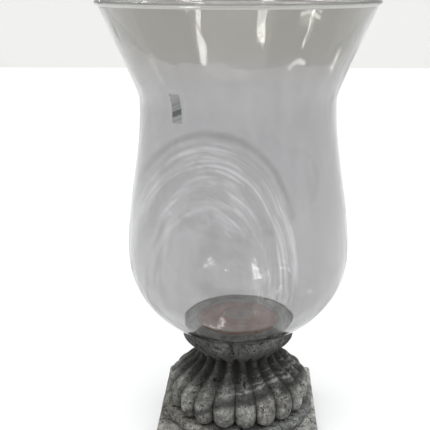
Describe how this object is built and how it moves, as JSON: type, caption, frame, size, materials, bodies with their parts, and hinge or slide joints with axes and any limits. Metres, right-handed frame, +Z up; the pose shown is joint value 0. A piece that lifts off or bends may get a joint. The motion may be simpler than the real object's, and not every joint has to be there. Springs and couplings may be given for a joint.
{
  "type": "hurricane candle lantern",
  "caption": "Clear blown-glass hurricane shade standing in the cup of a gadrooned, weathered clay pedestal with a round ring and a square plinth; holds a pillar candle.",
  "frame": {"origin": "centre of the footprint, on the surface that the felt pads stand on", "axes": "+Z up along the shade's axis; the plinth's sides are square to X and Y, and -Y is the front"},
  "size_m": [0.28, 0.2799, 0.4816],
  "materials": {
    "aged_clay": "weathered grey, pitted, matt",
    "plinth_clay": "pale speckled grey, matt",
    "terracotta": "bare fired clay, matt",
    "mortar": "dark, sandy",
    "cushion_felt": "thin grey felt",
    "pad_felt": "dense dark felt",
    "clear_glass": "clear blown glass, faintly grey-green, swirl marks",
    "label_paper": "plain white paper with a grey block, no text"
  },
  "bodies": {
    "pedestal": {"pedestal_bowl": "aged_clay", "cup_disc": "terracotta", "shade_cushion": "cushion_felt", "upper_mortar_bed": "mortar", "base_ring": "aged_clay", "lower_mortar_bed": "mortar", "plinth": "plinth_clay", "foot_pad_front_left": "pad_felt", "foot_pad_front_right": "pad_felt", "foot_pad_back_left": "pad_felt", "foot_pad_back_right": "pad_felt"},
    "shade": {"glass_shade": "clear_glass", "paper_label": "label_paper"}
  },
  "joints": [
    {"name": "shade_lift", "type": "slide", "parent": "pedestal", "child": "shade", "axis": [0, 0, 1], "range_m": [0, 0.1]}
  ]
}
